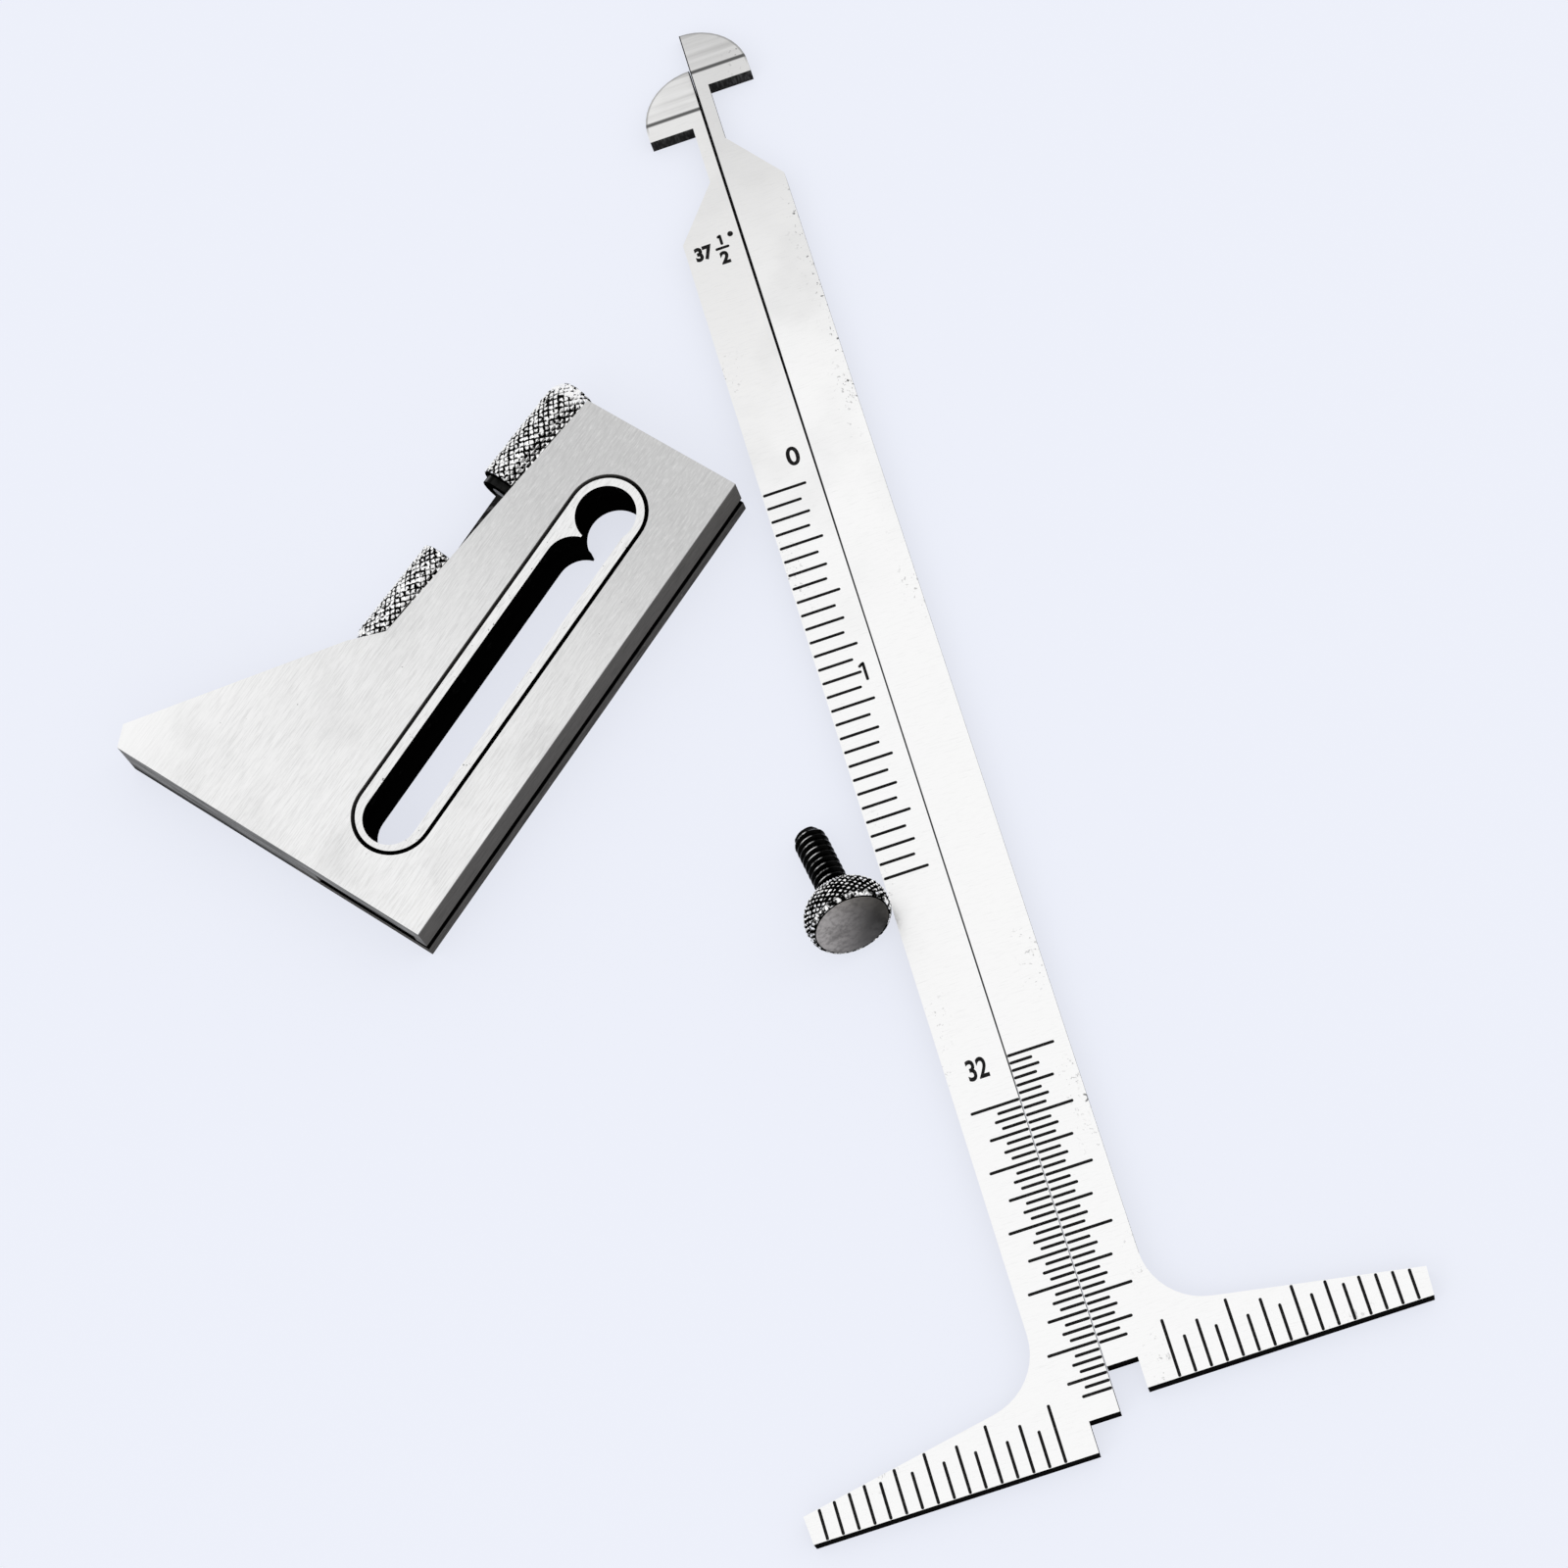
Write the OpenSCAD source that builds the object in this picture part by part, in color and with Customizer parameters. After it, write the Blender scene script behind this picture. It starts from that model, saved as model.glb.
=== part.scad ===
// Internal-misalignment and weld gauge for pipe, laid out in its separate pieces:
// two sliding half-blades side by side, the gauge block that carries them, and its thumb screw.
// Millimetres. +Z is up, +Y points along the blades to their hooks.

/* [Blades] */
// Thickness of each half-blade
blade_t = 2.0; // [1.6:0.1:3]
// Width of each half-blade
blade_w = 6.27; // [5.5:0.01:8]
// Running gap between the two half-blades
blade_gap = 0.10; // [0.06:0.01:0.3]
// From the zero line of the fine scale down to the end of the stem
stem_reach = 32.6; // [30:0.1:45]
// From the zero line up to the underside of the hook
hook_reach = 114.8; // [95:0.1:140]
// How far the right half-blade is pushed up past the left one
blade_stagger = 4.53; // [0:0.01:12]

/* [Hooks] */
// Width of the neck behind the hook
neck_w = 1.45; // [1.2:0.05:2.5]
// Height of the neck between hook and shoulder
neck_h = 6.9; // [4:0.1:10]
// Height of the square part of the hook below its round
hook_land = 1.1; // [0.6:0.1:3]
// Height of the flat face of the hook below the bevel
hook_flat = 2.05; // [1:0.05:4]
// Slope of the bevel on the hook's upper face, degrees
hook_bevel = 9; // [4:1:14]
// Bevel angle of the shoulders, degrees from the blade's edge
bevel_angle = 37.5; // [30:0.5:45]

/* [Feet] */
// Reach of the foot from the joint line
foot_reach = 31.8; // [24:0.1:40]
// Height of the foot's outer end
foot_tip_h = 2.9; // [2:0.1:5]
// Slope of the foot's upper edge, degrees
foot_slope = 10.4; // [5:0.1:16]
// Fillet between blade and foot
foot_fillet = 6.5; // [3:0.1:8]
// Width of the square notch at the joint line
notch_w = 3.1; // [2:0.1:4.5]
// Depth of that notch
notch_h = 3.18; // [2:0.1:5]

/* [Gauge block] */
// Length of the block along the blades
block_l = 57; // [52:0.5:72]
// Thickness of the block with its cover
block_t = 6.35; // [6.1:0.05:8]
// Wall between the cover's flange and the rollers' edge, at the narrow end
edge_wall = 1.35; // [1:0.05:6.4]
// Taper of the roller edge, degrees
edge_taper = 5.9; // [3:0.1:6.5]
// From the narrow end to the shoulder of the wing
shoulder_l = 32; // [31:0.1:36]
// Size of the corner cut at the shoulder
shoulder_cut = 3.0; // [2:0.1:4]
// Height of the wing's blunt nose
nose_h = 2.4; // [1:0.1:4]
// Play of the blades in the channel, across and in depth
channel_play = 0.1; // [0.06:0.01:0.3]
// Width of the lip that closes the channel
lip_w = 1.3; // [1:0.05:1.6]
// Height of the clamping slit in the lip
slit_h = 1.0; // [0.6:0.1:1.4]
// Thickness of the back cover
cover_t = 1.6; // [1.4:0.05:1.8]
// Width of the cover's screw flange
flange_w = 3.5; // [3.3:0.1:3.8]

/* [Window] */
// Distance of the window's centre line from the joint line of the blades
window_shift = 2.1; // [1.6:0.1:2.4]
// Distance from the narrow end to the window frame's pocket
window_top = 5.1; // [4.5:0.1:8]
// Length of the pocket
pocket_l = 47.2; // [40:0.1:47.5]
// Width of the pocket
pocket_w = 8.95; // [8.4:0.05:9.4]
// Open line all around the frame
frame_gap = 0.45; // [0.2:0.05:0.7]
// Depth of the frame's flange
frame_t = 1.9; // [1.4:0.1:2]
// Width of the reading slot
slot_w = 6.0; // [4.5:0.1:6.2]
// Diameter of the round end of the keyhole
keyhole_d = 6.5; // [5:0.1:6.6]
// Width of the passage from round hole to slot, measured from the slot's right side
keyhole_neck = 3.8; // [3.4:0.1:4.4]

/* [Rollers] */
// Diameter of each knurled roller
roller_d = 5.6; // [4.8:0.1:5.7]
// Length of each knurled roller
roller_l = 12.8; // [9:0.1:13]
// Axis of the rollers beyond the narrow end's corner
roller_u = 2.7; // [2.5:0.05:3.2]
// Tilt of the roller axis from the straight edge, degrees
roller_cant = 3; // [1:0.1:5]
// From the narrow end to the flat end of the upper roller
upper_flat = 11.8; // [11:0.1:11.9]
// From the narrow end to the flat end of the lower roller
lower_flat = 21.8; // [21.7:0.1:22.5]
// Diameter of the axles
axle_d = 1.8; // [1.2:0.1:2]

/* [Thumb screw] */
// Outside diameter of the thread
screw_d = 3.5; // [2.5:0.1:3.6]
// Length of the thread below the head
screw_l = 9.5; // [8.5:0.1:14]
// Diameter of the knurled head
head_d = 9.15; // [7:0.05:9.3]
// Thickness of the knurled head
head_t = 4.0; // [3.4:0.1:6]

/* [Hidden] */
$fn = 64;
eps = 0.05;

// running clearance on a radius, and the slack between seated pieces
run_fit = 0.10;
seat_fit = 0.02;

// where the pieces lie, beside the left half-blade
block_place = [-blade_w - 2.1, 70.96];
block_turn = -50.4;
screw_place = [-blade_w - 5.81, 32.3];
screw_turn = 8.7;

// blades, measured from the zero line of the fine scale
hook_arc_y = hook_reach + hook_land;
hook_top = hook_arc_y + blade_w;
shoulder_top = hook_reach - neck_h;
shoulder_drop = (blade_w - neck_w) / tan(bevel_angle);
foot_bottom = stem_reach + notch_h;
foot_tip_y = -foot_bottom + foot_tip_h;
foot_root_y = foot_tip_y + (foot_reach - blade_w) * tan(foot_slope);
fillet_run = foot_fillet / tan((90 + foot_slope) / 2);
fillet_centre = [-blade_w - foot_fillet, foot_root_y + fillet_run];
fillet_end = fillet_centre + foot_fillet * [sin(foot_slope), -cos(foot_slope)];

// block: u runs across to the straight edge at 0, v runs down from the narrow end, z up from its back
channel_w = 2 * blade_w + blade_gap + 1.6 * channel_play;
channel_mid = -lip_w - channel_w / 2;
channel_d = blade_t + channel_play;
channel_left = -lip_w - channel_w;
channel_top = cover_t + channel_d;
cover_left = channel_left - flange_w;
block_w = -cover_left + edge_wall;
web_t = block_t - channel_top;
shoulder_u = -block_w - shoulder_l * tan(edge_taper);
wing_top = [shoulder_u - shoulder_cut, -shoulder_l - shoulder_cut];
wing_run = block_l - nose_h - shoulder_l - shoulder_cut;
nose_u = wing_top[0] - wing_run * tan(bevel_angle);
nose_cut = 1.0;

// window: a flanged frame in a stepped pocket
window_u = window_shift - channel_mid;
frame_w = pocket_w - 2 * frame_gap;
frame_l = pocket_l - 2 * frame_gap;
spigot_w = slot_w + 1.2;
spigot_l = frame_l - (frame_w - spigot_w);
slot_end = window_top + frame_gap + frame_l - 0.6 - slot_w / 2;
hole_v = window_top + frame_gap + 0.9 + keyhole_d / 2;
slot_start = hole_v + keyhole_d / 2 + slot_w / 2;
window_mid = window_top + pocket_l / 2;

// rollers: they turn on axles in one line, canted to the straight edge
axis_z = block_t / 2;
roller_r = roller_d / 2;
roller_dome = 1.8;
scallop_r = roller_r + 0.2;
end_play = 0.1;
ear_t = 0.8;
ear_r = 2.1;
axle_head_d = 3.0;
axle_head_t = 0.8;
axle_grip = 4.2;

// thumb screw and its threaded seat between the rollers
seat_v = 16.9;
seat_l = 7.2;
seat_w = 4.3;
seat_u = -block_w - (upper_flat + ear_t) * tan(edge_taper) - 1.3;
seat_floor = seat_u + 1.45;
barrel_d = 4.8;
tip_r = screw_d / 2;
grip_r = tip_r - 0.4;
head_chamfer = 0.3;
head_grip = 3.0;
lay_arm = screw_l - tip_r + head_chamfer;
lay_tilt = acos(tip_r / norm([head_d / 2, lay_arm])) - atan2(lay_arm, head_d / 2);

// the origin is under the middle of the whole layout
nose_x = block_place[0] + (nose_u + nose_cut) * cos(block_turn) + block_l * sin(block_turn);
lay_x = -(nose_x + foot_reach + blade_gap / 2) / 2;
lay_y = (foot_bottom - hook_top - blade_stagger) / 2;

// back cover screws and friction plugs, along the block
cover_screw_v = [4.5, 26, 39, block_l - 4];
cover_screw_u = channel_left - flange_w / 2;
cover_screw_d = 1.6;
cover_head_d = 3.0;
cover_screw_l = 3.2;
notch_v = [seat_v - 4.6, seat_v + 4.6];
plug_d = 2.0;
plug_l = 1.7;
plug_right = -lip_w - 2;
plug_left = channel_mid - 3.3;
plug_places = [[plug_right, 12], [plug_right, block_l - 12],
               [plug_left, window_top / 2], [plug_left, block_l - 2.3]];

module place_blades() translate([lay_x, lay_y, 0]) children();

module place_block()
    translate([lay_x + block_place[0], lay_y + block_place[1], 0]) rotate([0, 0, block_turn]) children();

// frame of the roller line: Y along the axles towards the narrow end, origin level with that end
module place_rollers()
    translate([-block_w - roller_u, 0, axis_z]) rotate([0, 0, -roller_cant]) children();

// stands a shape drawn along Z on the roller line, its zero at distance v below the narrow end
module along_axle(v) translate([0, -v, 0]) rotate([-90, 0, 0]) children();

// the thumb screw, drawn along Z from its tip, lying on head rim and tip
module place_screw()
    translate([lay_x + screw_place[0], lay_y + screw_place[1], tip_r])
        rotate([0, 0, screw_turn]) rotate([90 - lay_tilt, 0, 0]) translate([0, 0, -tip_r]) children();

module slot_2d(w, v0, v1) {
    translate([-window_u, -v0]) circle(d = w);
    translate([-window_u, -v1]) circle(d = w);
    translate([-window_u - w / 2, -v1]) square([w, v1 - v0]);
}

module pill_2d(w, l) slot_2d(w, window_mid - l / 2 + w / 2, window_mid + l / 2 - w / 2);

module keyhole_2d() {
    translate([-window_u, -hole_v]) circle(d = keyhole_d);
    slot_2d(slot_w, slot_start, slot_end);
    translate([slot_w / 2 - window_u - keyhole_neck, -slot_start])
        square([keyhole_neck, slot_start - hole_v]);
}

module hook_2d() {
    translate([-blade_w, hook_reach]) square([blade_w, hook_land]);
    intersection() {
        translate([0, hook_arc_y]) circle(r = blade_w, $fn = 96);
        translate([-blade_w, hook_arc_y - eps]) square([blade_w, blade_w + 1]);
    }
}

module blade_2d() {
    difference() {
        polygon([[0, -stem_reach], [0, hook_reach + eps], [-neck_w, hook_reach + eps],
                 [-neck_w, shoulder_top],
                 [-blade_w, shoulder_top - shoulder_drop], [-blade_w, fillet_centre[1]], fillet_centre, fillet_end,
                 [-foot_reach, foot_tip_y], [-foot_reach + 0.2, -foot_bottom], [-notch_w, -foot_bottom],
                 [-notch_w, -stem_reach]]);
        translate(fillet_centre) circle(r = foot_fillet, $fn = 96);
    }
    hook_2d();
}

// one half-blade, its joint edge on x = 0
module half_blade() {
    difference() {
        linear_extrude(blade_t) blade_2d();
        translate([-blade_w - 1, hook_reach + hook_flat, blade_t]) rotate([-hook_bevel, 0, 0])
            cube([blade_w + 2, 2 * blade_w, blade_t]);
    }
}

module left_blade()
    color("gainsboro") place_blades() translate([-blade_gap / 2, 0, 0]) half_blade();

module right_blade()
    color("gainsboro") place_blades()
        translate([blade_gap / 2, blade_stagger, 0]) mirror([1, 0, 0]) half_blade();

module block_2d() {
    polygon([[0, 0], [0, -block_l], [nose_u + nose_cut, -block_l], [nose_u, -block_l + nose_h],
             wing_top, [shoulder_u, -shoulder_l], [-block_w, 0]]);
}

// outline of the back cover: open past the straight edge and the ends by more, with room for the screw seat
module cover_2d(more) {
    translate([channel_left, -block_l - more]) square([-channel_left + more, block_l + 2 * more]);
    translate([cover_left, -notch_v[0]]) square([flange_w + eps, notch_v[0] + more]);
    translate([cover_left, -block_l - more]) square([flange_w + eps, block_l - notch_v[1] + more]);
}

module roller_ear() {
    place_rollers() along_axle(upper_flat + end_play + ear_t) cylinder(r = ear_r, h = ear_t);
    place_rollers() translate([0, -upper_flat - end_play - ear_t, -ear_r])
        cube([roller_u + 2.2, ear_t, 2 * ear_r]);
}

module plug_holes() {
    for (p = plug_places)
        translate([p[0], -p[1], channel_top - eps]) cylinder(d = plug_d, h = plug_l + eps);
}

module gauge_block() {
    color("silver") place_block() {
        difference() {
            union() {
                difference() {
                    linear_extrude(block_t) block_2d();
                    // room for the two rollers
                    place_rollers() along_axle(upper_flat + end_play) cylinder(r = scallop_r, h = upper_flat + 8);
                    place_rollers() along_axle(lower_flat + roller_l + 0.3)
                        cylinder(r = scallop_r, h = roller_l + 0.3 + end_play);
                }
                roller_ear();
            }
            // blade channel, its clamping slit, and the seat of the back cover
            translate([channel_left, -block_l - 1, cover_t - eps])
                cube([channel_w, block_l + 2, channel_d + eps]);
            translate([-lip_w - eps, -block_l - 1, cover_t - eps])
                cube([lip_w + 1, block_l + 2, slit_h + eps]);
            translate([0, 0, -1]) linear_extrude(cover_t + 1) cover_2d(1);
            // stepped pocket of the window frame
            translate([0, 0, block_t - frame_t]) linear_extrude(frame_t + 1) pill_2d(pocket_w, pocket_l);
            linear_extrude(block_t) pill_2d(spigot_w + 2 * seat_fit, spigot_l + 2 * seat_fit);
            // axle holes
            place_rollers() along_axle(upper_flat + 1.4) cylinder(d = axle_d + 2 * seat_fit, h = 3);
            place_rollers() along_axle(lower_flat + roller_l + axle_grip)
                cylinder(d = axle_d + 2 * seat_fit, h = axle_grip + 1);
            // seat of the threaded bush
            translate([seat_floor - 4, -seat_v - seat_l / 2 - seat_fit, axis_z - seat_w / 2 - seat_fit])
                cube([4, seat_l + 2 * seat_fit, seat_w + 2 * seat_fit]);
            translate([seat_floor - 1, -seat_v, axis_z]) rotate([0, 90, 0])
                cylinder(d = barrel_d + 2 * seat_fit, h = channel_left - seat_floor + 1 + eps);
            plug_holes();
            for (v = cover_screw_v) translate([cover_screw_u, -v, 0])
                cylinder(d = cover_screw_d + 2 * seat_fit, h = cover_screw_l + 0.1);
        }
    }
}

module back_cover() {
    color("darkgray") place_block() difference() {
        linear_extrude(cover_t) difference() {
            cover_2d(0);
            keyhole_2d();
        }
        for (v = cover_screw_v) translate([cover_screw_u, -v, 0]) cover_screw_space();
    }
}

module cover_screw_space() {
    translate([0, 0, -eps]) cylinder(d = cover_screw_d + 2 * seat_fit, h = cover_t + 1);
    translate([0, 0, -seat_fit]) cylinder(d1 = cover_head_d + 6 * seat_fit, d2 = cover_screw_d + 6 * seat_fit,
                                          h = (cover_head_d - cover_screw_d) / 2);
}

module cover_screws() {
    cone_h = (cover_head_d - cover_screw_d) / 2;
    color("dimgray") place_block() for (v = cover_screw_v) translate([cover_screw_u, -v, 0]) difference() {
        union() {
            cylinder(d1 = cover_head_d, d2 = cover_screw_d, h = cone_h);
            cylinder(d = cover_screw_d, h = cover_screw_l);
        }
        translate([-cover_head_d, -0.2, -eps]) cube([2 * cover_head_d, 0.4, 0.35]);
    }
}

module window_frame() {
    color("whitesmoke") place_block() difference() {
        union() {
            translate([0, 0, block_t - frame_t]) linear_extrude(frame_t) pill_2d(frame_w, frame_l);
            translate([0, 0, channel_top + eps]) linear_extrude(web_t - frame_t) pill_2d(spigot_w, spigot_l);
        }
        linear_extrude(block_t + 1) keyhole_2d();
    }
}

module friction_plugs() {
    color("ivory") place_block() for (p = plug_places)
        translate([p[0], -p[1], channel_top + seat_fit]) cylinder(d = plug_d - 2 * seat_fit, h = plug_l - seat_fit);
}

module screw_bush() {
    color("dimgray") place_block() difference() {
        union() {
            translate([seat_u, -seat_v - seat_l / 2, axis_z - seat_w / 2])
                cube([seat_floor - seat_u, seat_l, seat_w]);
            translate([seat_floor - eps, -seat_v, axis_z]) rotate([0, 90, 0])
                cylinder(d = barrel_d, h = channel_left - 0.5 - seat_floor + eps);
        }
        translate([seat_u - 1, -seat_v, axis_z]) rotate([0, 90, 0]) cylinder(d = screw_d, h = block_w);
    }
}

// a knurled roller along Z: flat end at 0, domed end above, bored for its axle
module roller() {
    difference() {
        rotate_extrude() {
            square([roller_r, roller_l - roller_dome]);
            square([roller_r - roller_dome, roller_l]);
            intersection() {
                translate([roller_r - roller_dome, roller_l - roller_dome]) circle(r = roller_dome);
                square([roller_r, roller_l]);
            }
        }
        translate([0, 0, -1]) cylinder(d = axle_d + 2 * run_fit, h = roller_l + 2);
        children();
    }
}

module head_recess() cylinder(d = axle_head_d + 4 * run_fit, h = axle_head_t + 1.3);

module upper_roller()
    color("darkgray") place_block() place_rollers() along_axle(upper_flat) roller()
        translate([0, 0, roller_l - axle_head_t - 0.5]) head_recess();

module lower_roller()
    color("darkgray") place_block() place_rollers() translate([0, -lower_flat, 0]) rotate([90, 0, 0]) roller()
        translate([0, 0, -1.2]) head_recess();

module upper_axle() {
    grip_v = upper_flat + end_play + ear_t - 0.05;
    head_v = upper_flat - roller_l + axle_head_t + 0.4;
    color("gray") place_block() place_rollers() {
        along_axle(grip_v) cylinder(d = axle_d, h = grip_v - head_v + eps);
        along_axle(head_v) cylinder(d = axle_head_d, h = axle_head_t);
    }
}

module lower_axle() {
    tail_v = lower_flat + roller_l + axle_grip - 0.2;
    head_v = lower_flat + axle_head_t;
    color("gray") place_block() place_rollers() {
        along_axle(tail_v) cylinder(d = axle_d, h = tail_v - head_v + eps);
        along_axle(head_v) cylinder(d = axle_head_d, h = axle_head_t);
    }
}

module screw_stud() {
    color("dimgray") place_screw() rotate_extrude() {
        translate([0, tip_r]) square([tip_r, screw_l - seat_fit - tip_r]);
        translate([0, tip_r]) square([grip_r, screw_l + head_grip - tip_r]);
        intersection() {
            translate([0, tip_r]) circle(r = tip_r);
            square([tip_r, tip_r + eps]);
        }
    }
}

module screw_head() {
    r = head_d / 2;
    color("darkgray") place_screw() translate([0, 0, screw_l]) rotate_extrude() polygon([
        [grip_r + seat_fit, 0], [r - head_chamfer, 0], [r, head_chamfer], [r, head_t - head_chamfer],
        [r - head_chamfer, head_t], [0, head_t], [0, head_grip + seat_fit],
        [grip_r + seat_fit, head_grip + seat_fit]]);
}

left_blade();
right_blade();
gauge_block();
back_cover();
cover_screws();
window_frame();
friction_plugs();
screw_bush();
upper_roller();
lower_roller();
upper_axle();
lower_axle();
screw_stud();
screw_head();
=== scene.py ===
"""Pipe alignment and weld gauge, laid out in its pieces.

Gives the CAD nodes their finishes and adds the engraved scales, the knurls and the thread.
"""

import math

import bpy
from mathutils import Matrix, Vector


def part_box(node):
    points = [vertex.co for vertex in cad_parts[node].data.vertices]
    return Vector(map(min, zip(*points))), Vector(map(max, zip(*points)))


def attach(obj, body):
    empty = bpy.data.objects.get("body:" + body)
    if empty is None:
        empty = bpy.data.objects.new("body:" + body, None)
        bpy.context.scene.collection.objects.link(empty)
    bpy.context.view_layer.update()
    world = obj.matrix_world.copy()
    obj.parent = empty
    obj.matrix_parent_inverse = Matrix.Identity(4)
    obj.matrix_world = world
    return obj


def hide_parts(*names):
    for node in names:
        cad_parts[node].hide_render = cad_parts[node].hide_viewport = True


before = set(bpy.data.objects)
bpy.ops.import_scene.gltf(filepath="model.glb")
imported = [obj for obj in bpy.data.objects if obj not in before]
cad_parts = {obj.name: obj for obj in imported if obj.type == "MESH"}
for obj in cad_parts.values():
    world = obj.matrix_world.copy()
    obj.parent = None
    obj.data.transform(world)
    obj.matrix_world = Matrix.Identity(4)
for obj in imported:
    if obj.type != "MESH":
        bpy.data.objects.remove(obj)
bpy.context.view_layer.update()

MM = 0.001
INCH = 25.4

# half-blades, millimetres from the zero line of the fine scale on the joint line
LAY = (22.743889, -45.46)
STAGGER = 4.53
BLADE_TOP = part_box("left_blade")[1].z / MM
BLADE_WIDTH = 6.27
HOOK_BEVEL_Y = 116.85
HOOK_ARC_Y = 115.9
FOOT_BOTTOM = -35.78
FOOT_REACH = 31.8
FOOT_TIP = 2.9
FOOT_SLOPE = math.radians(10.4)

# gauge block; u runs across to its straight edge at 0, v up to its narrow end at 0
BLOCK_PLACE = (LAY[0] - 8.37, LAY[1] + 70.96)
BLOCK_TURN = math.radians(-50.4)
BLOCK_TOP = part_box("gauge_block")[1].z / MM
BLOCK_LENGTH = 57
BLOCK_WIDTH = 18.95
EDGE_TAPER = math.radians(5.9)
CHANNEL_MIDDLE = 7.05
CHANNEL_HALF = 7.0
CHANNEL_TOP = 3.7
WINDOW_LINE = 9.8
WINDOW_HALF = 4.6
WINDOW_REACH = 26.3
HOLLOW_LOW = -24

# rollers; the flats are the places of their flat ends along the block's edge
ROLLER_RADIUS = 2.8
ROLLER_LENGTH = 12.8
ROLLER_DOME = 1.8
ROLLER_OFFSET = 2.7
ROLLER_CANT = math.radians(-3)
ROLLER_BORE = 1.0
HEAD_RECESS = 1.7
RECESS_DEPTH = 1.3
BORE_MIDDLE = 6
UPPER_FLAT = 11.8
LOWER_FLAT = 21.8

# knurls: points around, depth of the grooves, rings, and the height stored on each kind of point
ROLLER_POINTS = 22
ROLLER_KNURL = 0.2
ROLLER_RINGS = 13
DOME_RINGS = (0.33, 0.6)
HEAD_POINTS = 32
HEAD_KNURL = 0.22
POINT_HEIGHT = "point_height"
# stored heights that paint black shade, half a highlight, and the highlight of the head's band
BLACK_SHADE_HEIGHT = -3
HALF_HIGHLIGHT_HEIGHT = 0.25
BAND_HIGHLIGHT_HEIGHT = 0.52

# thumb screw
SCREW_PLACE = (LAY[0] - 12.08, LAY[1] + 32.3)
SCREW_TURN = math.radians(8.7)
SCREW_TILT = math.radians(90 - 18.716085)
THREAD_RADIUS = 1.75
THREAD_LENGTH = 9.5
THREAD_PITCH = 0.794
THREAD_DEPTH = 0.45
THREAD_STEPS = 28
THREAD_TURNS = 11
TIP_SLABS = 8
TIP_SLAB = 0.22
HEAD_THICKNESS = 4.0
HEAD_RADII = (3.25, 3.85, 4.26, 4.5, 4.57, 4.55, 4.42)
HEAD_KNURL_SPAN = (0.2, 3.45)
GROOVE_OUTER = 3.93
GROOVE_INNER = 3.87

# engraved scales: line lengths by the divisions that they mark
LINE_WIDTH = 0.31
FILL_HEIGHT = 0.012
FINE_LINES = 39
FINE_LENGTHS = {8: 5.0, 4: 4.0, 2: 3.0, 1: 2.5}
EDGE_LINES = 29
EDGE_START = 70.65
EDGE_GAPS = {4: 1.5, 2: 2.0, 1: 2.45}
FOOT_LINES = 16
FOOT_START = 6.4
FOOT_LENGTHS = {4: 5.9, 2: 4.9, 1: 3.8}


def turned(angle, axis):
    """Turn by an angle in radians about an axis."""
    return Matrix.Rotation(angle, 4, axis)


def moved(x, y, z):
    """Shift in millimetres."""
    return Matrix.Translation((x * MM, y * MM, z * MM))


BLADE_FRAMES = {
    "left": moved(LAY[0], LAY[1], 0),
    "right": moved(LAY[0], LAY[1] + STAGGER, 0),
}
BLOCK_FRAME = moved(BLOCK_PLACE[0], BLOCK_PLACE[1], 0) @ turned(BLOCK_TURN, "Z")
ROLLER_LINE = (
    BLOCK_FRAME
    @ moved(-BLOCK_WIDTH - ROLLER_OFFSET, 0, BLOCK_TOP / 2)
    @ turned(ROLLER_CANT, "Z")
)
UPPER_ROLLER = ROLLER_LINE @ moved(0, -UPPER_FLAT, 0) @ turned(math.radians(-90), "X")
LOWER_ROLLER = ROLLER_LINE @ moved(0, -LOWER_FLAT, 0) @ turned(math.radians(90), "X")
SCREW_FRAME = (
    moved(SCREW_PLACE[0], SCREW_PLACE[1], THREAD_RADIUS)
    @ turned(SCREW_TURN, "Z")
    @ turned(SCREW_TILT, "X")
    @ moved(0, 0, -THREAD_RADIUS)
)


# ---------------------------------------------------------------- finishes


class Level:
    """A number that varies over a surface, for sums written as plain expressions."""

    def __init__(self, finish, socket):
        self.finish = finish
        self.socket = socket

    def computed(self, operation, *values):
        """One Math node on the values, in their order."""
        return self.finish.level("Math", {"operation": operation}, dict(enumerate(values)))

    def __add__(self, other):
        return self.computed("ADD", self, other)

    def __sub__(self, other):
        return self.computed("SUBTRACT", self, other)

    def __mul__(self, other):
        return self.computed("MULTIPLY", self, other)

    def __rsub__(self, other):
        return self.computed("SUBTRACT", other, self)

    def __abs__(self):
        return self.computed("ABSOLUTE", self)

    __radd__ = __add__
    __rmul__ = __mul__

    def between(self, low, high):
        """0 at low and 1 at high, with soft ends."""
        settings = {"interpolation_type": "SMOOTHSTEP"}
        inputs = {"Value": self, "From Min": low, "From Max": high}
        return self.finish.level("MapRange", settings, inputs)

    def larger(self, other):
        return self.computed("MAXIMUM", self, other)

    def root(self):
        return self.computed("SQRT", self)

    def sine(self):
        return self.computed("SINE", self)


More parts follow.
